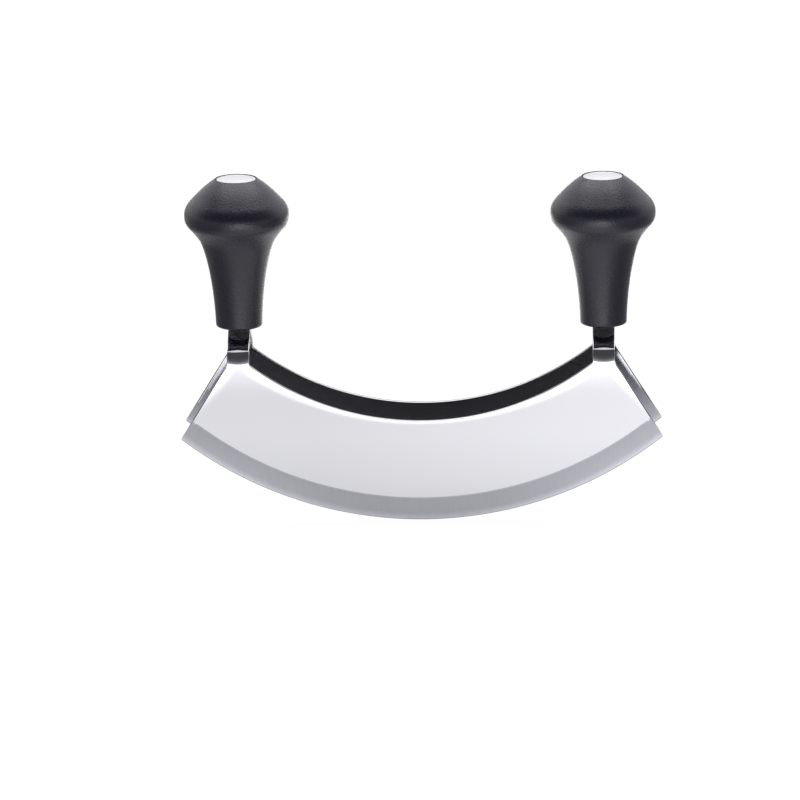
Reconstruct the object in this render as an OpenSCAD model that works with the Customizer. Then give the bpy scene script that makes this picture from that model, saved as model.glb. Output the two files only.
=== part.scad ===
// Double-bladed mezzaluna: two curved chopping blades side by side under two
// upright knob handles. +X runs along the blades, -Y is the front and +Z is up.
// The origin is on the ground, midway between the lowest points of both edges.

/* [Blades] */
// Length from tip to tip
blade_len = 200; // [180:1:230]
// Radius of the cutting edge
edge_r = 159.5; // [150:0.5:200]
// Radius of the hollow back edge
back_r = 115.6; // [112:0.1:125]
// Height of the blade at its middle
mid_h = 42.5; // [36:0.1:48]
// Thickness of the sheet
sheet_t = 1.8; // [1.5:0.1:2]
// Outer face of one blade to outer face of the other
blades_w = 32; // [28:0.1:36]
// Width of the ground bevel
bevel_w = 9.7; // [6:0.1:12]
// Thickness left at the cutting edge
edge_t = 0.3; // [0.2:0.05:0.6]

/* [Necks and tangs] */
// Distance between the two handle axes
handle_gap = 151.2; // [150:0.1:156]
// Width of each neck and tang
neck_w = 9.1; // [8:0.1:10]
// Angle of the neck's slope away from upright
neck_angle = 62; // [56:1:66]
// Radius of the upper, hollow bend on its open side
hollow_bend_r = 2; // [1:0.5:4]
// Radius of the lower, round bend on its outside
round_bend_r = 7; // [3:0.5:9]
// How far the tangs reach up into a handle
tang_in_handle = 24; // [20:1:26]

/* [Handles] */
// Height of the handle without its cap's dome
handle_h = 62.5; // [60:0.5:70]
// Diameter of the knob at its widest
knob_d = 43.6; // [40:0.1:48]
// Diameter of the stem at the bottom
stem_d = 19.4; // [18:0.1:22]
// Rounding of the stem's bottom edge
stem_round = 1; // [0.5:0.1:2]
// Diameter of the steel cap in the knob's top
cap_d = 16.7; // [14:0.1:17]
// Height of the cap's dome above its rim
cap_dome = 0.6; // [0.3:0.1:2]

/* [Fastening] */
// Diameter of the stud's slotted foot
foot_d = 9; // [8.5:0.1:9.2]
// How far the stud's foot reaches up over the tangs' tops
foot_over_tang = 3.6; // [3:0.1:5]
// Diameter of the rivets through foot and tangs
rivet_d = 3; // [2.5:0.1:3.2]
// Outer diameter of the bush that closes the stem's bottom
bush_d = 13; // [12:0.1:14]
// Height of that bush
bush_h = 7; // [5:0.5:8]

/* [Hidden] */
$fn = 96;
// Facets on the large arcs of the blades
arc_fn = 720;

// Blade outline, in X and Z
neck_x = handle_gap / 2;
neck_in = neck_x - neck_w / 2;
neck_out = neck_x + neck_w / 2;
// Straight edge between the hollow back's end and the neck's first bend
neck_step = 0.1;
neck_z = mid_h + back_r - sqrt(back_r * back_r - neck_in * neck_in) + neck_step;
tip_x = blade_len / 2;
tip_z = edge_r - sqrt(edge_r * edge_r - tip_x * tip_x);
// The blade's end runs on past its tip by this share, so that the edge cuts it
end_runout = 0.3;
run_x = tip_x + end_runout * (tip_x - neck_out);
run_z = tip_z - end_runout * (neck_z - tip_z);

// Section of one neck, measured outward from the middle plane and in Z
face_y = blades_w / 2;
slope_len = (face_y - sheet_t - (hollow_bend_r + round_bend_r) * (1 - cos(neck_angle)))
            / sin(neck_angle);
bend_top_z = neck_z + (hollow_bend_r + round_bend_r) * sin(neck_angle)
             + slope_len * cos(neck_angle);
// Height of the handles' bottoms, just clear of the necks' upper bends
bend_gap = 0.05;
handle_z = bend_top_z + bend_gap;
tang_top_z = handle_z + tang_in_handle;
// How far the neck strip runs down over the blade to join it
neck_lap = 1;
// Steps that each bend is drawn in
bend_steps = 12;

// Sizes of the M6 stud's shank, its washer and its nut
stud_d = 6;
washer_r = 6;
washer_t = 1;
nut_flats = 10;
nut_t = 5;
shank_past_nut = 1;

// Heights inside a handle, above its bottom
foot_top = tang_in_handle + foot_over_tang;
foot_low = 10;
rivet_low = 13;
rivet_high = 20;
well_floor = 49;
shank_top = well_floor + washer_t + nut_t + shank_past_nut;

// How far a solid that cuts a hole runs past the hole's ends
cut_over = 1;

// Radii and clearances inside a handle
tang_bore_r = 5;
well_r = 7.05;
slide_gap = 0.1;
close_gap = 0.05;
shank_gap = 0.2;

// Steel cap and its seat in the knob's top, with the narrow land around it
cap_rim_t = 1.1;
cap_skirt_t = 1;
cap_skirt_h = 5;
cap_skirt_r = well_r - close_gap;
dome_r = (cap_d * cap_d / 4 + cap_dome * cap_dome) / (2 * cap_dome);
seat_floor = handle_h - cap_rim_t;
cap_gap = 0.15;
seat_r = cap_d / 2 + cap_gap;
seat_land = 0.15;

// Control points of the grip's outline from the stem's bottom edge to the cap's
// seat, as shares of the knob's radius and of the handle's height. Each curve
// takes four of them, and shares its last one with the next curve.
grip_curves = [
  [0.445, 0.016], [0.468, 0.295], [0.617, 0.532], [0.735, 0.596],
  [0.911, 0.690], [1.000, 0.680], [1.000, 0.756],
  [1.000, 0.781], [0.980, 0.814], [0.879, 0.852],
  [0.699, 0.918], [0.604, 0.951], [2 * (seat_r + seat_land) / knob_d, 1.000]
];
curve_steps = 10;

// A point on a cubic curve through four control points
function bezier(p, t) =
  pow(1 - t, 3) * p[0] + 3 * pow(1 - t, 2) * t * p[1]
  + 3 * (1 - t) * t * t * p[2] + pow(t, 3) * p[3];

// The grip's outline as points in millimetres
function grip_point(p) = [p[0] * knob_d / 2, p[1] * handle_h];
grip_outline = [
  for (first = [0, 3, 6, 9])
    for (step = [(first == 0 ? 0 : 1):curve_steps])
      grip_point(bezier([for (i = [0:3]) grip_curves[first + i]], step / curve_steps))
];

// The rounded bottom edge of the stem
stem_r = stem_d / 2;
stem_edge = [
  for (a = [0:15:75])
    [stem_r - stem_round + stem_round * sin(a), stem_round - stem_round * cos(a)]
];

// Blade seen from the front: two straight ends, the hollow back and the edge
module blade_outline() {
  difference() {
    intersection() {
      polygon([
        [-run_x, run_z], [0, -edge_r], [run_x, run_z],
        [neck_out, neck_z], [-neck_out, neck_z]
      ]);
      translate([0, edge_r]) circle(r = edge_r, $fn = arc_fn);
    }
    translate([0, mid_h + back_r]) circle(r = back_r, $fn = arc_fn);
  }
}

// Section of what grinding takes off one side along the edge, run out past it
module ground_off() {
  bevel_r = edge_r - bevel_w;
  bevel_depth = (sheet_t - edge_t) / 2;
  polygon([
    [bevel_r, sheet_t / 2], [bevel_r + 2 * bevel_w, sheet_t / 2 - 2 * bevel_depth],
    [bevel_r + 2 * bevel_w, sheet_t]
  ]);
}

// A flat crescent ground on both sides, centred on the plane Y = 0
module blade_plate() {
  difference() {
    rotate([90, 0, 0]) linear_extrude(height = sheet_t, center = true) blade_outline();
    for (side = [0, 1])
      translate([0, 0, edge_r]) rotate([90, 0, 0]) mirror([0, 0, side])
        rotate_extrude($fn = arc_fn) ground_off();
  }
}

// Points on an arc from angle a0 to angle a1
function arc(centre, r, a0, a1) = [
  for (i = [0:bend_steps])
    let (a = a0 + (a1 - a0) * i / bend_steps) centre + r * [cos(a), sin(a)]
];

// One face of a neck from the blade up: round bend, slope and hollow bend, with
// the face lying the given depth into the sheet
function neck_face(depth) = concat(
  arc([face_y - round_bend_r, neck_z], round_bend_r - depth, 0, neck_angle),
  arc([sheet_t + hollow_bend_r, bend_top_z], hollow_bend_r + depth, 180 + neck_angle, 180)
);
function reversed(list) = [for (i = [len(list) - 1:-1:0]) list[i]];

// Side view of a neck and its tang, as one bent strip
module neck_section() {
  polygon(concat(
    [[face_y, neck_z - neck_lap]], neck_face(0), [[sheet_t, tang_top_z], [0, tang_top_z]],
    reversed(neck_face(sheet_t)), [[face_y - sheet_t, neck_z - neck_lap]]
  ));
}

// Neck and tang over one handle position
module neck_and_tang() {
  difference() {
    rotate([90, 0, 90])
      linear_extrude(height = neck_w, center = true) neck_section();
    for (h = [rivet_low, rivet_high])
      translate([0, 0, handle_z + h]) rotate([90, 0, 0])
        cylinder(d = rivet_d + 2 * close_gap, h = 3 * sheet_t, center = true);
  }
}

// The rear blade; the front one is its mirror image
module blade() {
  translate([0, face_y - sheet_t / 2, 0]) blade_plate();
  for (side = [-1, 1]) translate([side * neck_x, 0, 0]) neck_and_tang();
}

// Moulded knob handle with the room for its fastening
module handle() {
  difference() {
    rotate_extrude()
      polygon(concat([[0, 0]], stem_edge, grip_outline, [[0, handle_h]]));
    translate([0, 0, -cut_over]) cylinder(d = bush_d + 2 * close_gap, h = bush_h + cut_over);
    cylinder(r = tang_bore_r, h = foot_top);
    cylinder(r = stud_d / 2 + shank_gap, h = handle_h);
    translate([0, 0, well_floor]) cylinder(r = well_r, h = handle_h);
    translate([0, 0, seat_floor]) cylinder(r = seat_r, h = handle_h);
  }
}

// Slotted bush that closes the stem's bottom round the tangs
module tang_bush() {
  difference() {
    cylinder(d = bush_d, h = bush_h);
    translate([0, 0, bush_h / 2])
      cube([neck_w + 2 * slide_gap, 2 * (sheet_t + slide_gap), 2 * bush_h], center = true);
  }
}

// Stud with a slotted foot that straddles both tangs
module tang_stud() {
  difference() {
    union() {
      translate([0, 0, foot_low]) cylinder(d = foot_d, h = foot_top - foot_low);
      translate([0, 0, foot_low]) cylinder(d = stud_d, h = shank_top - foot_low);
    }
    translate([-foot_d, -sheet_t, foot_low - cut_over])
      cube([2 * foot_d, 2 * sheet_t, tang_in_handle - foot_low + cut_over]);
    for (h = [rivet_low, rivet_high])
      translate([0, 0, h]) rotate([90, 0, 0])
        cylinder(d = rivet_d + 2 * close_gap, h = 2 * foot_d, center = true);
  }
}

// The two rivets of one stud, flush with its round foot
module stud_rivets() {
  half_len = sqrt(foot_d * foot_d - rivet_d * rivet_d) / 2;
  for (h = [rivet_low, rivet_high])
    translate([0, 0, h]) rotate([90, 0, 0])
      cylinder(d = rivet_d, h = 2 * half_len, center = true);
}

// Flat washer on the floor of the top well
module washer() {
  translate([0, 0, well_floor]) difference() {
    cylinder(r = washer_r, h = washer_t);
    translate([0, 0, -cut_over])
      cylinder(r = stud_d / 2 + shank_gap, h = washer_t + 2 * cut_over);
  }
}

// Hexagon nut that draws the handle down on the stud's foot
module nut() {
  translate([0, 0, well_floor + washer_t]) difference() {
    cylinder(d = nut_flats / cos(30), h = nut_t, $fn = 6);
    translate([0, 0, -cut_over])
      cylinder(d = stud_d + 2 * close_gap, h = nut_t + 2 * cut_over);
  }
}

// Domed steel cap, pressed into the well by its skirt
module cap() {
  translate([0, 0, seat_floor]) {
    intersection() {
      cylinder(d = cap_d, h = cap_rim_t + cap_dome);
      translate([0, 0, handle_h - seat_floor + cap_dome - dome_r]) sphere(r = dome_r, $fn = 360);
    }
    translate([0, 0, -cap_skirt_h]) difference() {
      cylinder(r = cap_skirt_r, h = cap_skirt_h + cap_rim_t / 2);
      translate([0, 0, -cut_over])
        cylinder(r = cap_skirt_r - cap_skirt_t, h = cap_skirt_h + cut_over);
    }
  }
}

// Puts a piece of a handle in its place on the left or the right
module at_handle(side) {
  translate([side * neck_x, 0, handle_z]) children();
}

module front_blade() { color("silver") mirror([0, 1, 0]) blade(); }
module rear_blade() { color("silver") blade(); }
module left_handle() { color([0.17, 0.17, 0.18]) at_handle(-1) handle(); }
module right_handle() { color([0.17, 0.17, 0.18]) at_handle(1) handle(); }
module left_tang_bush() { color([0.12, 0.12, 0.13]) at_handle(-1) tang_bush(); }
module right_tang_bush() { color([0.12, 0.12, 0.13]) at_handle(1) tang_bush(); }
module left_tang_stud() { color("darkgray") at_handle(-1) tang_stud(); }
module right_tang_stud() { color("darkgray") at_handle(1) tang_stud(); }
module left_stud_rivets() { color("gray") at_handle(-1) stud_rivets(); }
module right_stud_rivets() { color("gray") at_handle(1) stud_rivets(); }
module left_washer() { color("gainsboro") at_handle(-1) washer(); }
module right_washer() { color("gainsboro") at_handle(1) washer(); }
module left_nut() { color("gainsboro") at_handle(-1) nut(); }
module right_nut() { color("gainsboro") at_handle(1) nut(); }
module left_cap() { color("lightgray") at_handle(-1) cap(); }
module right_cap() { color("lightgray") at_handle(1) cap(); }

front_blade();
rear_blade();
left_handle();
right_handle();
left_tang_bush();
right_tang_bush();
left_tang_stud();
right_tang_stud();
left_stud_rivets();
right_stud_rivets();
left_washer();
right_washer();
left_nut();
right_nut();
left_cap();
right_cap();
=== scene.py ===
"""Looks of a double-bladed mezzaluna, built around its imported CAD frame.

Blades are made as flat blanks in millimetres and then bent, so that each one is
a single polished sheet from its cutting edge to the tops of its tangs.
"""

import math

import bpy
import numpy as np
from mathutils import Matrix, Vector
from mathutils.geometry import delaunay_2d_cdt


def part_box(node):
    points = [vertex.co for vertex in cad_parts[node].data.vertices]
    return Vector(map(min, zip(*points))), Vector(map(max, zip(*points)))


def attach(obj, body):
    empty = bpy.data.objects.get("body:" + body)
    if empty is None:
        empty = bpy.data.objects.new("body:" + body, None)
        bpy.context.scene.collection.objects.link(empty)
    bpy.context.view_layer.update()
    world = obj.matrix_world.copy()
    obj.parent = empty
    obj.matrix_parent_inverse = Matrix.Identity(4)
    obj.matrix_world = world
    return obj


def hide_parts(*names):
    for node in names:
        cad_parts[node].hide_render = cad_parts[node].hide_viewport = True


MM = 0.001
BODY = "root"

# Blade in millimetres: radii of the cutting edge and of the back, height in the
# middle, sheet, ground bevel, and width of a neck
EDGE_R = 159.5
BACK_R = 115.6
MID_H = 42.5
SHEET = 1.8
BEVEL_W = 9.7
NECK_W = 9.1
# Fine edge below the bevel: half the thickness at its top and its tip, and its width
EDGE_HALF, MICRO_HALF, MICRO_W = 0.15, 0.04, 0.35

# Neck section: radii on the outer face of the round bend and the open side of
# the hollow one, the slope's angle from upright, and where the bend starts
ROUND_R = 9.0
HOLLOW_R = 1.7
NECK_ANGLE = math.radians(62)
BEND_START = 66.0
# Bending curls the sides of the round bend outwards, most where it has turned this far
CURL, CURL_ANGLE = 0.36, math.radians(40)

# Rounding of the sheet's edges, and the wider, shallow fall of the polish, which
# grows to its full size over CROWN_FADE below the necks
RIM_R = 0.3
CROWN_TILT = math.radians(3.5)
CROWN_W = 4.6
CROWN_FADE = 4.0
# A rim counts as a blade's end where the direction off it has more than this share
# along X, and fully so END_BLEND further
END_SHARE, END_BLEND = 0.70, 0.12

# Roundings of the blank's corners, as lengths taken off both sides
TIP_CUT, SHOULDER_CUT, CORNER_CUT, TANG_CUT = 0.6, 0.8, 0.5, 1.2

# Steel colour on a bevel, from the cutting edge to the polished face: the ground steel's own darker
# tone, with painted shade in a dark line at the cutting edge and a painted gradient, lighter near
# the edge and darker towards the bevel's line, for the reflected light
BEVEL_TONE_AND_PAINTED_SHADE = (
    (0.0, 0.26), (0.04, 0.76), (0.15, 0.62), (0.3, 0.50), (0.93, 0.45), (1.0, 0.56)
)

# Rivet holes in the tangs, above the handle's bottom
RIVET_HOLE_R = 1.55
RIVET_HEIGHTS = (13.0, 20.0)
HOLE_SIDES = 24

# Mesh of a blade: points on its arcs, steps along straight sides, over the face, and
# up a neck's round bend, slope and hollow bend, and columns across a neck
EDGE_POINTS, BACK_POINTS, BEVEL_POINTS = 221, 91, 181
SIDE_STEP, FACE_STEP = 0.9, 1.0
ROUND_STEP, SLOPE_STEP, HOLLOW_STEP = 0.25, 0.6, 0.12
NECK_COLUMNS = 13
# Rings inside the outline, as shares of its rounding, with one more beyond it
RING_SHARES, RING_BEYOND = (0.05, 0.17, 0.35, 0.62, 1.0), 0.1
# Gaps that the points of the face and of a neck keep from the rounding, and those of
# the face from the bevel's line, which itself stops short of the tips in X
FACE_GAP, NECK_GAP, BEVEL_GAP, TIP_GAP = 0.5, 0.15, 0.3, 7.0
# Below the start of the bend: where the face's grid stops and a neck's rows start
ROW_GAP, NECK_START = 0.5, 0.4
# Segments of the outline within this distance of the cutting edge belong to it
EDGE_NEAR = 0.02
# Points nearer than this are one, and what is divided by is never less than the tiny one
SAME_POINT, TINY = 1e-5, 1e-9
# Least share of the rounding at which its steepness is taken, which keeps it finite
STEEPEST = 0.02
# Normals are taken this share of the way from a triangle's corner to its middle
CORNER_SHARE = 0.04

# Places of a blade's materials in its list
FACE_SLOT, BEVEL_SLOT, RIM_SLOT, END_SLOT, INNER_SLOT = range(5)

# Inside of a handle, as radii and heights above its bottom
BUSH_R, BUSH_H = 6.55, 7.0
TANG_BORE_R, FOOT_TOP = 5.0, 27.6
SHANK_R = 3.2
WELL_R, WELL_FLOOR = 7.05, 49.0
# Cap: its radius, the rim's thickness, how far the rim is sunk and how its edge is
# rounded, and the skirt; then the gap round it and the knob's narrow land and lip there
CAP_R, CAP_RIM_T, CAP_SUNK, CAP_EDGE_R = 8.2, 1.1, 0.2, 0.3
SKIRT_R, SKIRT_T, SKIRT_H = 7.0, 1.0, 5.0
CAP_GAP, CAP_LAND, LIP_H = 0.3, 0.15, 0.1
# Rounding of the stem's foot, and the degrees that it turns through
STEM_ROUND, STEM_TURN = 1.0, 82

# Bezier points of the grip's outline, as shares of the knob's radius and the
# handle's height
GRIP_CURVES = (
    (0.445, 0.016), (0.468, 0.295), (0.617, 0.532), (0.735, 0.596),
    (0.911, 0.690), (1.000, 0.680), (1.000, 0.756),
    (1.000, 0.781), (0.980, 0.814), (0.879, 0.852),
    (0.699, 0.918), (0.604, 0.951),
)

# Camera, fitted to the photograph of 800 x 800 pixels. Its sensor is in millimetres,
# its distance from the origin and its farthest sight in metres
SENSOR = 36
FOCAL_PX = 5479.9
PITCH, YAW, ROLL = math.radians(15.0), math.radians(1.854), math.radians(-0.883)
ORIGIN_PX = (423.88, 509.10)
PHOTO_PX = 800
CAMERA_DISTANCE = 2.2953
CAMERA_SIGHT = 100

# Brightness of the table in mirrors, by the distance in Y from the middle plane as a
# share of TABLE_REACH. It holds to TABLE_SIDE on both sides in X, and TABLE_SPREAD
# further for each metre in Y, then falls over TABLE_FADE to TABLE_DARK of it. Places
# are in metres
TABLE_REACH, TABLE_SPREAD = 0.5, 0.1
TABLE_SIDE, TABLE_FADE, TABLE_DARK = 0.10, 0.10, 0.12
TABLE_GLOW = (
    (0.029, 0.42), (0.0325, 0.74), (0.075, 0.86), (0.10, 1.03), (0.15, 1.10),
    (0.30, 1.20), (0.45, 1.17), (0.52, 1.50), (0.58, 2.5), (0.64, 3.8),
)
# Share added to it on the left and the right, at two places in X, which sets in
# between two distances in Y
GAIN_X, GAIN, GAIN_START = (-0.05, 0.09), (-0.06, 0.15), (0.04, 0.065)
# White of the table's paint, how bright the camera sees it glow, and how far a glow
# stands in for the paint in mirrors and to the camera
TABLE_WHITE, TABLE_SHOWN = 0.9, 1.06
MIRROR_SHARE, CAMERA_SHARE = 0.8, 0.9
# Half the table's side, in millimetres
TABLE_HALF = 6000

# Brightness of the sky by height, and the share along Y over which the front turns
# into the rear
SKY_FRONT = (
    (0.0, 1.0), (0.05, 0.62), (0.14, 0.29), (0.30, 0.125),
    (0.55, 0.075), (0.92, 0.075), (0.94, 1.0),
)
SKY_REAR = ((0.0, 0.85), (0.50, 1.2), (1.0, 1.2))
SKY_TURN = (-0.1, 0.35)

# Soft light above and behind, in metres and watts
LAMP_PLACE, LAMP_AIM = (0.0, 0.35, 1.3), (0, 0, 0.05)
LAMP_SIZE, LAMP_POWER = (1.4, 1.1), 12.0

# Colours, and roughness as a range; the inner steel's runs from the middle to the ends
POLISHED, POLISHED_ROUGH = (0.66, 0.66, 0.685), (0.05, 0.08)
INNER, INNER_ROUGH = (0.54, 0.54, 0.556), (0.16, 0.065)
# Heights in metres between which a bevel's colour is darkened by painted shade, and the share of
# its colour that stays
PAINTED_SHADE_HEIGHTS, PAINTED_SHADE_SHARE = (0.006, 0.036), 0.86
# Noise lies mostly between these values
NOISE_SPAN = (0.3, 0.7)

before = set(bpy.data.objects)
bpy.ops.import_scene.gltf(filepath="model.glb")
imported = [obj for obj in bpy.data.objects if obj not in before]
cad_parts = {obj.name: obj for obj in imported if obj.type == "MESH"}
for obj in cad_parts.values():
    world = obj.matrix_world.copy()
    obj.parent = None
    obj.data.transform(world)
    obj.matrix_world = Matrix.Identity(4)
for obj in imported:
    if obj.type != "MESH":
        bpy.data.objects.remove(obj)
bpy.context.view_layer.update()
blade_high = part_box("rear_blade")[1]
handle_low, handle_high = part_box("right_handle")

half_len = blade_high.x / MM
face_y = blade_high.y / MM
tang_top = blade_high.z / MM
handle_x = (handle_low.x + handle_high.x) / 2 / MM
handle_z = handle_low.z / MM
handle_h = (handle_high.z - handle_low.z) / MM
knob_r = (handle_high.x - handle_low.x) / 2 / MM
cap_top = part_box("right_cap")[1].z / MM - handle_z


def make_object(name, verts, faces, smooth=True):
    """A new mesh object from points in millimetres."""
    mesh = bpy.data.meshes.new(name)
    mesh.from_pydata([tuple(MM * c for c in v) for v in verts], [], faces)
    mesh.update()
    if smooth:
        mesh.shade_smooth()
    obj = bpy.data.objects.new(name, mesh)
    bpy.context.scene.collection.objects.link(obj)
    return obj


# Materials

def new_material(name):
    material = bpy.data.materials.new(name)
    material.use_nodes = True
    return material, material.node_tree, material.node_tree.nodes["Principled BSDF"]


def add_node(tree, kind, **settings):
    node = tree.nodes.new(kind)
    for key, value in settings.items():
        setattr(node, key, value)
    return node


def set_sockets(node, **values):
    for key, value in values.items():
        node.inputs[key.replace("_", " ")].default_value = value


def math_node(tree, operation, *values):
    """The output of a maths node with the given sockets or constants as inputs."""
    node = add_node(tree, "ShaderNodeMath", operation=operation)
    for socket, value in zip(node.inputs, values):
        if isinstance(value, (int, float)):
            socket.default_value = value
        else:
            tree.links.new(value, socket)
    return node.outputs[0]


def map_range(tree, source, span, result):
    """A value carried from one range to another, and held at its ends."""
    node = add_node(tree, "ShaderNodeMapRange")
    for name, value in zip(("From Min", "From Max", "To Min", "To Max"), (*span, *result)):
        node.inputs[name].default_value = value
    tree.links.new(source, node.inputs["Value"])
    return node.outputs["Result"]


def mixed_colour(tree, factor, first, second, blend="MIX"):
    """Two colours, as constants or sockets, mixed by a constant or a socket."""
    node = add_node(tree, "ShaderNodeMix", data_type="RGBA", blend_type=blend)
    for name, value in (("Factor", factor), ("A", first), ("B", second)):
        if isinstance(value, bpy.types.NodeSocket):
            tree.links.new(value, node.inputs[name])
        else:
            node.inputs[name].default_value = value
    return node.outputs["Result"]


def axes(tree, kind="Object"):
    """X, Y and Z of texture coordinates, in metres where they are the object's."""
    coords = add_node(tree, "ShaderNodeTexCoord")
    split = add_node(tree, "ShaderNodeSeparateXYZ")
    tree.links.new(coords.outputs[kind], split.inputs[0])
    return split.outputs


def brightness_ramp(tree, source, stops, blue=1.02):
    """A ramp of slightly blue greys, from pairs of place and brightness."""
    node = add_node(tree, "ShaderNodeValToRGB")
    elements = node.color_ramp.elements
    while len(elements) < len(stops):
        elements.new(0.5)
    for element, (place, value) in zip(elements, stops):
        element.position = place
        element.color = (value, value, blue * value, 1)
    tree.links.new(source, node.inputs["Fac"])
    return node.outputs["Color"]


def object_noise(tree, scale, stretch=(1, 1, 1), detail=2.0):
    """Noise over object coordinates in metres, stretched along an axis."""
    coords = add_node(tree, "ShaderNodeTexCoord")
    mapping = add_node(tree, "ShaderNodeMapping")
    mapping.inputs["Scale"].default_value = stretch
    noise = add_node(tree, "ShaderNodeTexNoise")
    set_sockets(noise, Scale=scale, Detail=detail)
    tree.links.new(coords.outputs["Object"], mapping.inputs["Vector"])
    tree.links.new(mapping.outputs["Vector"], noise.inputs["Vector"])
    return noise.outputs["Fac"]


def add_bump(tree, shader, height, strength, distance):
    bump = add_node(tree, "ShaderNodeBump")
    set_sockets(bump, Strength=strength, Distance=distance)
    tree.links.new(height, bump.inputs["Height"])
    tree.links.new(bump.outputs["Normal"], shader.inputs["Normal"])


def polished_steel():
    material, tree, shader = new_material("polished_steel")
    set_sockets(shader, Base_Color=(*POLISHED, 1), Metallic=1.0)
    haze = object_noise(tree, scale=60, detail=3)
    roughness = map_range(tree, haze, NOISE_SPAN, POLISHED_ROUGH)
    tree.links.new(roughness, shader.inputs["Roughness"])
    return material


def inner_steel():
    """The blades' inner faces, fully polished only beyond the necks."""
    material, tree, shader = new_material("inner_steel")
    set_sockets(shader, Metallic=1.0)
    aside = math_node(tree, "ABSOLUTE", axes(tree)["X"])
    across_neck = (MM * neck_in, MM * neck_out)
    share = map_range(tree, aside, across_neck, (0.0, 1.0))
    tint = mixed_colour(tree, share, (*INNER, 1), (*POLISHED, 1))
    tree.links.new(tint, shader.inputs["Base Color"])
    roughness = map_range(tree, aside, across_neck, INNER_ROUGH)
    tree.links.new(roughness, shader.inputs["Roughness"])
    return material


def ground_steel():
    """Bevel faces, ground across the edge, so that streaks run up and down."""
    material, tree, shader = new_material("ground_steel")
    set_sockets(shader, Metallic=1.0, Roughness=0.36)
    coords = add_node(tree, "ShaderNodeTexCoord")
    offset = add_node(tree, "ShaderNodeVectorMath", operation="SUBTRACT")
    offset.inputs[1].default_value = (0, 0, MM * EDGE_R)
    flat = add_node(tree, "ShaderNodeVectorMath", operation="MULTIPLY")
    flat.inputs[1].default_value = (1, 0, 1)
    radius = add_node(tree, "ShaderNodeVectorMath", operation="LENGTH")
    tree.links.new(coords.outputs["Object"], offset.inputs[0])
    tree.links.new(offset.outputs["Vector"], flat.inputs[0])
    tree.links.new(flat.outputs["Vector"], radius.inputs[0])
    bevel = (MM * EDGE_R, MM * (EDGE_R - BEVEL_W))
    inward = map_range(tree, radius.outputs["Value"], bevel, (0.0, 1.0))
    # The bevel's tone, with painted shade from the cutting edge across the bevel
    shade = brightness_ramp(tree, inward, BEVEL_TONE_AND_PAINTED_SHADE, blue=1.08)
    streaks = object_noise(tree, scale=1400, stretch=(1, 1, 0.03), detail=3)
    streak = map_range(tree, streaks, NOISE_SPAN, (0.97, 1.03))
    # Painted shade: darker where the blade rises to its ends
    painted_end_shade = map_range(tree, axes(tree)["Z"], PAINTED_SHADE_HEIGHTS, (1.0, PAINTED_SHADE_SHARE))
    level = math_node(tree, "MULTIPLY", streak, painted_end_shade)
    tone = mixed_colour(tree, 1.0, shade, level, blend="MULTIPLY")
    tree.links.new(tone, shader.inputs["Base Color"])
    add_bump(tree, shader, streaks, strength=0.12, distance=0.00004)
    return material


def satin_steel(name, color, roughness, spread=0.04):
    material, tree, shader = new_material(name)
    set_sockets(shader, Base_Color=(*color, 1), Metallic=1.0)
    grain = object_noise(tree, scale=900)
    result = map_range(tree, grain, NOISE_SPAN, (roughness - spread, roughness + spread))
    tree.links.new(result, shader.inputs["Roughness"])
    return material


def moulded_plastic(name, color, roughness, grain_strength, spread=0.10):
    """Black plastic with the fine grain of a spark-eroded mould."""
    material, tree, shader = new_material(name)
    set_sockets(shader, Base_Color=(*color, 1), Specular_IOR_Level=0.5)
    grain = object_noise(tree, scale=1500, detail=3)
    result = map_range(tree, grain, NOISE_SPAN, (roughness - spread, roughness + spread))
    tree.links.new(result, shader.inputs["Roughness"])
    add_bump(tree, shader, grain, grain_strength, distance=0.0002)
    return material


# Geometry of a blade's blank, in X and in S, the height before bending

def arc_points(radius, angles, centre):
    return [
        (centre[0] + radius * math.sin(a), centre[1] - radius * math.cos(a))
        for a in angles
    ]


def line_points(start, end, step):
    count = max(1, round(math.dist(start, end) / step))
    return [
        (start[0] + (end[0] - start[0]) * i / count, start[1] + (end[1] - start[1]) * i / count)
        for i in range(count + 1)
    ]


def cut_back(path, distance):
    """The path without its last stretch of that length."""
    points = list(path)
    while len(points) > 2 and math.dist(points[-1], points[-2]) < distance:
        distance -= math.dist(points[-1], points[-2])
        points.pop()
    last, before = points[-1], points[-2]
    share = distance / math.dist(last, before)
    points[-1] = (
        last[0] + (before[0] - last[0]) * share,
        last[1] + (before[1] - last[1]) * share,
    )
    return points


def joined(first, second, distance, steps=6):
    """Two paths that share a corner, with the corner rounded off."""
    corner = first[-1]
    before = cut_back(first, distance)
    after = cut_back(second[::-1], distance)[::-1]
    start, end = before[-1], after[0]
    curve = []
    for i in range(1, steps):
        t = i / steps
        a, b, c = (1 - t) ** 2, 2 * t * (1 - t), t * t
        curve.append(
            (a * start[0] + b * corner[0] + c * end[0], a * start[1] + b * corner[1] + c * end[1])
        )
    return before + curve + after


half = SHEET / 2
neck_in, neck_out = handle_x - NECK_W / 2, handle_x + NECK_W / 2
neck_z = MID_H + BACK_R - math.sqrt(BACK_R**2 - neck_in**2)

# Middle line of the bent neck: round bend, slope, hollow bend, straight tang
round_mid, hollow_mid = ROUND_R - half, HOLLOW_R + half
travel = face_y - SHEET
slope_len = (
    travel - (round_mid + hollow_mid) * (1 - math.cos(NECK_ANGLE))
) / math.sin(NECK_ANGLE)
slope_start = BEND_START + round_mid * NECK_ANGLE
hollow_start = slope_start + slope_len
tang_start = hollow_start + hollow_mid * NECK_ANGLE
tang_start_z = (
    BEND_START
    + (round_mid + hollow_mid) * math.sin(NECK_ANGLE)
    + slope_len * math.cos(NECK_ANGLE)
)
blank_top = tang_start + tang_top - tang_start_z


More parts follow.
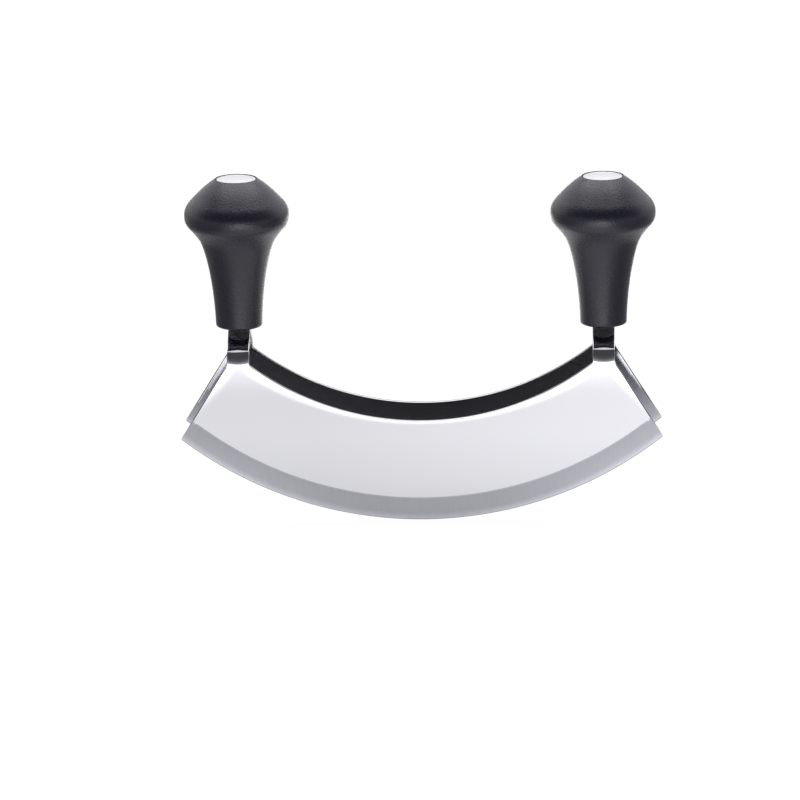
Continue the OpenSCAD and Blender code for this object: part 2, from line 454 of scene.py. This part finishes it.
def blank_outline():
    """Closed outline of the blank, counter-clockwise from the left tip."""
    tip_angle = math.asin(half_len / EDGE_R)
    edge = arc_points(EDGE_R, np.linspace(-tip_angle, tip_angle, EDGE_POINTS), (0, EDGE_R))
    tip = edge[-1]
    shoulder = (neck_out, neck_z)
    end = line_points(tip, shoulder, SIDE_STEP)
    outer = line_points(shoulder, (neck_out, blank_top), SIDE_STEP)
    top = line_points((neck_out, blank_top), (neck_in, blank_top), SIDE_STEP)
    inner = line_points((neck_in, blank_top), (neck_in, neck_z), SIDE_STEP)
    back_angle = math.asin(neck_in / BACK_R)
    back = arc_points(BACK_R, np.linspace(back_angle, 0, BACK_POINTS), (0, MID_H + BACK_R))
    side = joined(edge[EDGE_POINTS // 2 :], end, TIP_CUT)
    side = joined(side, outer, SHOULDER_CUT)
    side = joined(side, top, TANG_CUT)
    side = joined(side, inner, TANG_CUT)
    side = joined(side, back, CORNER_CUT)
    mirrored = [(-x, s) for x, s in side[1:-1]]
    return np.array(side + mirrored[::-1])


def inset(loop, distance):
    ahead, behind = np.roll(loop, -1, 0), np.roll(loop, 1, 0)
    along = ahead - behind
    along /= np.linalg.norm(along, axis=1)[:, None]
    return loop + distance * np.stack([-along[:, 1], along[:, 0]], 1)


outline = blank_outline()


def edge_distance(points):
    """How far inside the circle of the cutting edge."""
    return EDGE_R - np.hypot(points[:, 0], EDGE_R - points[:, 1])


def rim_segments():
    """The right half of the outline, without the cutting edge."""
    start, end = outline, np.roll(outline, -1, 0)
    middle = (start + end) / 2
    keep = (edge_distance(middle) > EDGE_NEAR) & (middle[:, 0] > 0)
    return start[keep], end[keep] - start[keep]


rim_start, rim_step = rim_segments()


def rim_distance(points, block=4000):
    """Distance to the outline beside the cutting edge, and the direction away from it."""
    distance, away = np.empty(len(points)), np.empty((len(points), 2))
    mirror = np.where(points[:, 0] < 0, -1, 1)
    folded = points * np.stack([mirror, np.ones(len(points))], 1)
    length2 = (rim_step**2).sum(1)
    for i in range(0, len(points), block):
        p = folded[i : i + block, None, :] - rim_start[None]
        t = np.clip((p * rim_step[None]).sum(2) / length2[None], 0, 1)
        gap = p - t[..., None] * rim_step[None]
        size = np.hypot(gap[..., 0], gap[..., 1])
        nearest = size.argmin(1)
        row = np.arange(len(nearest))
        distance[i : i + block] = size[row, nearest]
        away[i : i + block] = gap[row, nearest] / np.maximum(size[row, nearest], TINY)[:, None]
    away[:, 0] *= mirror
    return distance, away


def half_thickness(points, side):
    """Half the sheet's thickness on one face, and how fast it grows along X and S."""
    centre = np.array([0, EDGE_R])
    inward = (centre - points) / np.linalg.norm(centre - points, axis=1)[:, None]
    rho = edge_distance(points)
    micro_rate = (EDGE_HALF - MICRO_HALF) / MICRO_W
    bevel_rate = (half - EDGE_HALF) / (BEVEL_W - MICRO_W)
    micro = MICRO_HALF + micro_rate * rho
    bevel = EDGE_HALF + bevel_rate * (rho - MICRO_W)
    ground = np.where(rho < MICRO_W, micro, bevel)
    ground_rate = np.where(rho < MICRO_W, micro_rate, bevel_rate)
    near, away = rim_distance(points)
    dip = RIM_R - np.clip(near, STEEPEST * RIM_R, RIM_R)
    depth = np.sqrt(RIM_R**2 - dip**2)
    fall = np.clip(CROWN_W - near, 0, None) / CROWN_W
    # The necks are flat across, and inside only the blade's ends fall off
    crown = CROWN_TILT * np.clip((BEND_START - points[:, 1]) / CROWN_FADE, 0, 1)
    if side < 0:
        crown = crown * at_an_end(away)
    polished = half - (RIM_R - depth) - crown * CROWN_W * fall**2 / 2
    polished_rate = dip / depth + crown * fall
    on_bevel = ground < polished
    rate = np.where(
        on_bevel[:, None], ground_rate[:, None] * inward, polished_rate[:, None] * away
    )
    return np.where(on_bevel, ground, polished), rate


def at_an_end(away):
    """1 beside a blade's end, 0 along its back, from the direction off the rim."""
    return np.clip((np.abs(away[:, 0]) - END_SHARE) / END_BLEND, 0, 1)


def bent(points):
    """Middle-line place and outward direction at each point of the blank."""
    x, s = points[:, 0], points[:, 1]
    across = np.clip((np.abs(x) - handle_x) / (NECK_W / 2), -1, 1)
    angle = np.clip((s - BEND_START) / round_mid, 0, NECK_ANGLE)
    run = np.clip(s - slope_start, 0, slope_len)
    back = np.clip((s - hollow_start) / hollow_mid, 0, NECK_ANGLE)
    y = face_y - half - round_mid * (1 - np.cos(angle)) - run * math.sin(NECK_ANGLE)
    y -= hollow_mid * (np.cos(NECK_ANGLE - back) - math.cos(NECK_ANGLE))
    lost = round_mid * (angle - np.sin(angle)) + run * (1 - math.cos(NECK_ANGLE))
    lost += hollow_mid * (back - math.sin(NECK_ANGLE) + np.sin(NECK_ANGLE - back))
    out_y, out_z = np.cos(angle - back), np.sin(angle - back)
    phase = np.interp(angle, (0, CURL_ANGLE, NECK_ANGLE), (0, math.pi, 2 * math.pi))
    curl = CURL * across**2 * (1 - np.cos(phase)) / 2
    return x, y + curl * out_y, s - lost + curl * out_z, out_y, out_z


def face_points(points, thickness, side):
    """Points on one face of the bent sheet; side is 1 outside and -1 inside."""
    x, y, z, out_y, out_z = bent(points)
    return np.stack([x, y + side * thickness * out_y, z + side * thickness * out_z], 1)


def face_normals(points, thickness, rate, side, step=0.01):
    """Exact normals of that face, from small steps along X and along S."""
    slopes = []
    for axis in (0, 1):
        move = step * np.eye(2)[axis]
        change = step * rate[:, axis]
        slopes.append(
            face_points(points + move, thickness + change, side)
            - face_points(points - move, thickness - change, side)
        )
    normal = side * np.cross(slopes[1], slopes[0])
    return normal / np.linalg.norm(normal, axis=1)[:, None]


def inside(points, loop):
    """Which points lie inside a closed loop."""
    x, y = points[:, 0][:, None], points[:, 1][:, None]
    x0, y0 = loop[:, 0][None], loop[:, 1][None]
    x1, y1 = np.roll(loop[:, 0], -1)[None], np.roll(loop[:, 1], -1)[None]
    crosses = (y0 > y) != (y1 > y)
    where = x0 + (y - y0) * (x1 - x0) / np.where(y1 == y0, TINY, y1 - y0)
    return (crosses & (x < where)).sum(1) % 2 == 1


def rivet_holes():
    loops = []
    for side in (-1, 1):
        for height in RIVET_HEIGHTS:
            s = tang_start + handle_z + height - tang_start_z
            angles = np.linspace(0, 2 * math.pi, HOLE_SIDES + 1)[:-1]
            ring = [
                (side * handle_x + RIVET_HOLE_R * math.cos(a), s + RIVET_HOLE_R * math.sin(a))
                for a in angles
            ]
            loops.append(np.array(ring))
    return loops


def flat_mesh():
    """Points and triangles of the blank, with its rim loop and hole loops first."""
    holes = rivet_holes()
    loops = [outline] + holes
    loops += [inset(outline, share * RIM_R) for share in RING_SHARES]
    last_ring = inset(outline, RIM_R + RING_BEYOND)
    loops += [last_ring]
    bevel_angle = math.asin((half_len - TIP_GAP) / (EDGE_R - BEVEL_W))
    angles = np.linspace(-bevel_angle, bevel_angle, BEVEL_POINTS)
    bevel = np.array(arc_points(EDGE_R - BEVEL_W, angles, (0, EDGE_R)))
    bevel = bevel[inside(bevel, last_ring)]
    reach = round(half_len) - FACE_STEP
    grid_x = np.arange(-reach, reach + FACE_STEP / 2, FACE_STEP)
    grid_s = np.arange(FACE_STEP, BEND_START - ROW_GAP, FACE_STEP)
    face = np.array([(x, s) for x in grid_x for s in grid_s])
    face = face[inside(face, inset(outline, RIM_R + FACE_GAP))]
    face = face[np.abs(edge_distance(face) - BEVEL_W) > BEVEL_GAP]
    rows = np.concatenate(
        [
            np.arange(BEND_START - NECK_START, slope_start, ROUND_STEP),
            np.arange(slope_start, hollow_start, SLOPE_STEP),
            np.arange(hollow_start, tang_start + HOLLOW_STEP, HOLLOW_STEP),
        ]
    )
    edge_column = NECK_W / 2 - RIM_R - NECK_GAP
    columns = np.linspace(-edge_column, edge_column, NECK_COLUMNS)
    neck = np.array(
        [(side * handle_x + c, s) for side in (-1, 1) for c in columns for s in rows]
    )
    verts, edges = [], []
    for loop in loops:
        base = len(verts)
        verts += [Vector(p) for p in loop]
        edges += [(base + i, base + (i + 1) % len(loop)) for i in range(len(loop))]
    base = len(verts)
    verts += [Vector(p) for p in bevel]
    edges += [(base + i, base + i + 1) for i in range(len(bevel) - 1)]
    verts += [Vector(p) for p in face] + [Vector(p) for p in neck]
    made, _, triangles, source, _, _ = delaunay_2d_cdt(verts, edges, [], 0, SAME_POINT)
    points = np.array([tuple(p) for p in made])
    triangles = np.array(triangles)
    centres = points[triangles].mean(1)
    keep = inside(centres, outline)
    for hole in holes:
        keep &= ~inside(centres, hole)
    place = {}
    for i, sources in enumerate(source):
        for j in sources:
            place[j] = i
    rings, base = [], 0
    for loop in loops[: 1 + len(holes)]:
        rings.append([place[base + i] for i in range(len(loop))])
        base += len(loop)
    return points, triangles[keep], rings


def make_blank():
    """The bent rear blade: triangles, rims, then places, normals and material slots
    for both of its faces."""
    points, triangles, rings = flat_mesh()
    corner = points[triangles]
    area = np.cross(corner[:, 1] - corner[:, 0], corner[:, 2] - corner[:, 0])
    triangles = np.where(area[:, None] > 0, triangles, triangles[:, ::-1])
    # Just inside each triangle, so that the bevel's lines stay sharp
    corners = points[triangles]
    middle = corners.mean(1)
    sampled = (corners + CORNER_SHARE * (middle[:, None] - corners)).reshape(-1, 2)
    places, normals = [], []
    for side in (1, -1):
        places.append(face_points(points, half_thickness(points, side)[0], side))
        thickness, rate = half_thickness(sampled, side)
        normals.append(face_normals(sampled, thickness, rate, side).reshape(-1, 3, 3))
    near, away = rim_distance(middle)
    # The rounded ends get near-black steel: painted shade
    on_end = (near < RIM_R) & (at_an_end(away) > 0) & (middle[:, 1] < BEND_START)
    outer = np.where(on_end, END_SLOT, FACE_SLOT)
    outer = np.where(edge_distance(middle) < BEVEL_W, BEVEL_SLOT, outer)
    on_inner_face = (outer == FACE_SLOT) & (middle[:, 1] < BEND_START) & (near > RIM_R)
    inner = np.where(on_inner_face, INNER_SLOT, outer)
    return triangles, rings, places, normals, outer.tolist() + inner.tolist()


def blade_mesh(name, y_sign, blank, materials):
    """One blade; the front one is the rear one mirrored."""
    triangles, rings, places, normals, slots = blank
    count = len(places[0])
    flip = np.array((1, y_sign, 1))
    # Seen from outside a rear blade X runs to the left, so its triangles turn round
    turn = slice(None, None, -1 if y_sign > 0 else 1)
    back = slice(None, None, 1 if y_sign > 0 else -1)
    faces = triangles[:, turn].tolist() + (triangles[:, back] + count).tolist()
    split_normals = [
        (normals[0][:, turn] * flip).reshape(-1, 3), (normals[1][:, back] * flip).reshape(-1, 3)
    ]
    rim_from = len(faces)
    for number, ring in enumerate(rings):
        outward = (number == 0) == (y_sign > 0)
        for i, j in zip(ring, ring[1:] + ring[:1]):
            quad = (i, i + count, j + count, j)
            faces.append(quad if outward else quad[::-1])
    obj = make_object(name, np.concatenate(places) * flip, faces)
    for polygon in obj.data.polygons[rim_from:]:
        split_normals.append([tuple(polygon.normal)] * polygon.loop_total)
    obj.data.normals_split_custom_set(np.concatenate(split_normals).tolist())
    for material in materials:
        obj.data.materials.append(material)
    rim_slots = [RIM_SLOT] * (len(faces) - rim_from)
    obj.data.polygons.foreach_set("material_index", slots + rim_slots)
    return obj


# Turned pieces

def bezier(points, t):
    a, b, c, d = points
    u = 1 - t
    return u**3 * a + 3 * u * u * t * b + 3 * u * t * t * c + t**3 * d


def grip_outline(top_r, steps=16):
    controls = [np.array((r * knob_r, h * handle_h)) for r, h in GRIP_CURVES]
    controls.append(np.array((top_r, handle_h)))
    points = []
    for first in (0, 3, 6, 9):
        for step in range(0 if first == 0 else 1, steps + 1):
            points.append(tuple(bezier(controls[first : first + 4], step / steps)))
    return points


def quarter(centre, radius, start, end, steps=6):
    """Points on an arc, with angles in degrees from +R towards +Z."""
    return [
        (
            centre[0] + radius * math.cos(math.radians(start + (end - start) * i / steps)),
            centre[1] + radius * math.sin(math.radians(start + (end - start) * i / steps)),
        )
        for i in range(steps + 1)
    ]


def turned(name, section, side, segments=192, sharp=math.radians(30)):
    """A closed section turned about a handle's axis, or a solid that starts on it."""
    verts, faces, rings = [], [], []
    for r, h in section:
        if r < SAME_POINT:
            rings.append([len(verts)])
            verts.append((side * handle_x, 0, handle_z + h))
            continue
        rings.append(list(range(len(verts), len(verts) + segments)))
        for k in range(segments):
            a = 2 * math.pi * k / segments
            verts.append(
                (side * handle_x + r * math.cos(a), r * math.sin(a), handle_z + h)
            )
    pairs = list(zip(rings, rings[1:]))
    if len(rings[0]) > 1:
        pairs.append((rings[-1], rings[0]))
    for low, high in pairs:
        for k in range(segments):
            m = (k + 1) % segments
            if len(low) == 1:
                faces.append((low[0], high[m], high[k]))
            elif len(high) == 1:
                faces.append((low[k], low[m], high[0]))
            else:
                faces.append((low[k], low[m], high[m], high[k]))
    obj = make_object(name, verts, faces)
    obj.data.set_sharp_from_angle(angle=sharp)
    return obj


def handle_section():
    seat_r = CAP_R + CAP_GAP
    seat = handle_h - CAP_RIM_T
    stem_r = GRIP_CURVES[0][0] * knob_r
    foot = quarter((stem_r - STEM_ROUND, STEM_ROUND), STEM_ROUND, -90, STEM_TURN - 90)
    return (
        [(BUSH_R, 0)] + foot + grip_outline(seat_r + CAP_LAND)
        + [(seat_r, handle_h - LIP_H), (seat_r, seat), (WELL_R, seat), (WELL_R, WELL_FLOOR)]
        + [(SHANK_R, WELL_FLOOR), (SHANK_R, FOOT_TOP), (TANG_BORE_R, FOOT_TOP)]
        + [(TANG_BORE_R, BUSH_H), (BUSH_R, BUSH_H)]
    )


def cap_section():
    seat = handle_h - CAP_RIM_T
    dome = cap_top - handle_h + CAP_SUNK
    dome_r = (CAP_R**2 + dome**2) / (2 * dome)
    centre = cap_top - dome_r
    lean = math.degrees(math.asin((CAP_R - CAP_EDGE_R) / dome_r))
    top = quarter((0, centre), dome_r, 90 - lean, 90, steps=24)
    edge_h = top[0][1] - CAP_EDGE_R
    rim = quarter((CAP_R - CAP_EDGE_R, edge_h), CAP_EDGE_R, 0, 90 - lean)
    inner_r = SKIRT_R - SKIRT_T
    return (
        [(0, seat), (inner_r, seat), (inner_r, seat - SKIRT_H), (SKIRT_R, seat - SKIRT_H)]
        + [(SKIRT_R, seat), (CAP_R, seat)] + rim + top[1:]
    )


def add_turned_piece(node, section, side, material):
    obj = turned(node + "_turned", section, side)
    obj.data.materials.append(material)
    dress(obj, node)


def dress(obj, node):
    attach(obj, BODY)
    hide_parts(node)


def paint_inner_nodes(steel, plastic):
    """The carried-over nodes inside the handles get their materials."""
    for name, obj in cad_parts.items():
        if "bush" in name:
            material = plastic
        elif any(word in name for word in ("stud", "rivets", "washer", "nut")):
            material = steel
        else:
            continue
        for slot in obj.material_slots:
            slot.material = material


# Surroundings

def make_floor():
    """White table whose mirror image brightens with the distance from the blades."""
    corners = [(TABLE_HALF * x, TABLE_HALF * y, 0) for x, y in ((-1, -1), (1, -1), (1, 1), (-1, 1))]
    floor = make_object("floor", corners, [(0, 1, 2, 3)], smooth=False)
    material, tree, shader = new_material("floor_white")
    tree.nodes.remove(shader)
    output = tree.nodes["Material Output"]
    path = add_node(tree, "ShaderNodeLightPath")
    diffuse = add_node(tree, "ShaderNodeBsdfDiffuse")
    set_sockets(diffuse, Color=(TABLE_WHITE, TABLE_WHITE, TABLE_WHITE, 1))

    place = axes(tree)
    ahead = math_node(tree, "ABSOLUTE", place["Y"])
    aside = math_node(tree, "ABSOLUTE", place["X"])
    share = math_node(tree, "DIVIDE", ahead, TABLE_REACH)
    glow = brightness_ramp(tree, share, TABLE_GLOW)
    # Dark to the left and right, outside a wedge that widens to the front and rear
    outside = math_node(tree, "MULTIPLY_ADD", ahead, -TABLE_SPREAD, aside)
    sides = (TABLE_SIDE, TABLE_SIDE + TABLE_FADE)
    fade = map_range(tree, outside, sides, (1.0, TABLE_DARK))
    # A little brighter to the right, but not close to the blades
    slope = map_range(tree, place["X"], GAIN_X, GAIN)
    away = map_range(tree, ahead, GAIN_START, (0.0, 1.0))
    gain = math_node(tree, "MULTIPLY_ADD", slope, away, 1.0)
    mirrored = add_node(tree, "ShaderNodeEmission")
    tree.links.new(glow, mirrored.inputs["Color"])
    tree.links.new(math_node(tree, "MULTIPLY", fade, gain), mirrored.inputs["Strength"])
    shown = add_node(tree, "ShaderNodeEmission")
    set_sockets(shown, Color=(1, 1, 1, 1), Strength=TABLE_SHOWN)

    sources = (
        ("Is Glossy Ray", MIRROR_SHARE, mirrored), ("Is Transmission Ray", MIRROR_SHARE, mirrored),
        ("Is Camera Ray", CAMERA_SHARE, shown),
    )
    surface = diffuse.outputs[0]
    for ray, amount, source in sources:
        factor = math_node(tree, "MULTIPLY", path.outputs[ray], amount)
        mix = add_node(tree, "ShaderNodeMixShader")
        tree.links.new(factor, mix.inputs["Fac"])
        tree.links.new(surface, mix.inputs[1])
        tree.links.new(source.outputs[0], mix.inputs[2])
        surface = mix.outputs[0]
    tree.links.new(surface, output.inputs["Surface"])
    floor.data.materials.append(material)


def make_world():
    """White room behind; in front it is dark from the horizon up to the soft light."""
    world = bpy.data.worlds.new("studio")
    bpy.context.scene.world = world
    world.use_nodes = True
    tree = world.node_tree
    background = tree.nodes["Background"]
    direction = axes(tree, "Generated")
    front = brightness_ramp(tree, direction["Z"], SKY_FRONT)
    rear = brightness_ramp(tree, direction["Z"], SKY_REAR)
    behind = map_range(tree, direction["Y"], SKY_TURN, (0.0, 1.0))
    sky = mixed_colour(tree, behind, front, rear)
    path = add_node(tree, "ShaderNodeLightPath")
    shown = mixed_colour(tree, path.outputs["Is Camera Ray"], sky, (1, 1, 1, 1))
    tree.links.new(shown, background.inputs["Color"])
    background.inputs["Strength"].default_value = 1.0


def make_lamp():
    light = bpy.data.lights.new("softbox", "AREA")
    light.shape = "RECTANGLE"
    light.size, light.size_y = LAMP_SIZE
    light.energy = LAMP_POWER
    obj = bpy.data.objects.new("softbox", light)
    bpy.context.scene.collection.objects.link(obj)
    obj.location = LAMP_PLACE
    direction = Vector(LAMP_AIM) - Vector(LAMP_PLACE)
    obj.rotation_mode = "QUATERNION"
    obj.rotation_quaternion = direction.to_track_quat("-Z", "Y")


def make_camera():
    forward = Vector(
        (-math.sin(YAW) * math.cos(PITCH), math.cos(YAW) * math.cos(PITCH), -math.sin(PITCH))
    )
    level = Vector((math.cos(YAW), math.sin(YAW), 0))
    upward = level.cross(forward)
    right = math.cos(ROLL) * level + math.sin(ROLL) * upward
    up = -math.sin(ROLL) * level + math.cos(ROLL) * upward
    aside = (ORIGIN_PX[0] - PHOTO_PX / 2) / FOCAL_PX * CAMERA_DISTANCE
    above = -(ORIGIN_PX[1] - PHOTO_PX / 2) / FOCAL_PX * CAMERA_DISTANCE
    place = -(aside * right + above * up + CAMERA_DISTANCE * forward)
    data = bpy.data.cameras.new("camera")
    data.sensor_width = SENSOR
    data.lens = SENSOR * FOCAL_PX / PHOTO_PX
    data.clip_end = CAMERA_SIGHT
    camera = bpy.data.objects.new("camera", data)
    bpy.context.scene.collection.objects.link(camera)
    columns = (right, up, -forward, place)
    camera.matrix_world = Matrix(
        [[column[row] for column in columns] for row in range(3)] + [[0, 0, 0, 1]]
    )
    bpy.context.scene.camera = camera


make_camera()
bpy.context.scene.view_settings.view_transform = "Standard"
make_world()
make_floor()
make_lamp()

blade_blank = make_blank()
# In the order of the slots
steels = [
    polished_steel(), ground_steel(), satin_steel("sheared_steel", (0.30, 0.30, 0.31), 0.45),
    # The ends' steel is near black: painted shade on the rounded ends of the blades
    satin_steel("end_steel_painted_shade", (0.07, 0.07, 0.075), 0.45), inner_steel(),
]
for blade_name, sign in (("front_blade", -1), ("rear_blade", 1)):
    sheet = blade_mesh(blade_name + "_sheet", sign, blade_blank, steels)
    dress(sheet, blade_name)

grip_plastic = moulded_plastic("grip_plastic", (0.014, 0.013, 0.027), 0.32, 0.5)
cap_steel = satin_steel("cap_steel", (0.70, 0.70, 0.735), 0.25)
for name, sign in (("left", -1), ("right", 1)):
    add_turned_piece(name + "_handle", handle_section(), sign, grip_plastic)
    add_turned_piece(name + "_cap", cap_section(), sign, cap_steel)
paint_inner_nodes(
    satin_steel("zinc_steel", (0.6, 0.6, 0.62), 0.35),
    # The bush is grey rather than black: painted light, so that the necks mirror it as lit
    moulded_plastic("bush_plastic", (0.10, 0.10, 0.105), 0.5, 0.2),
)
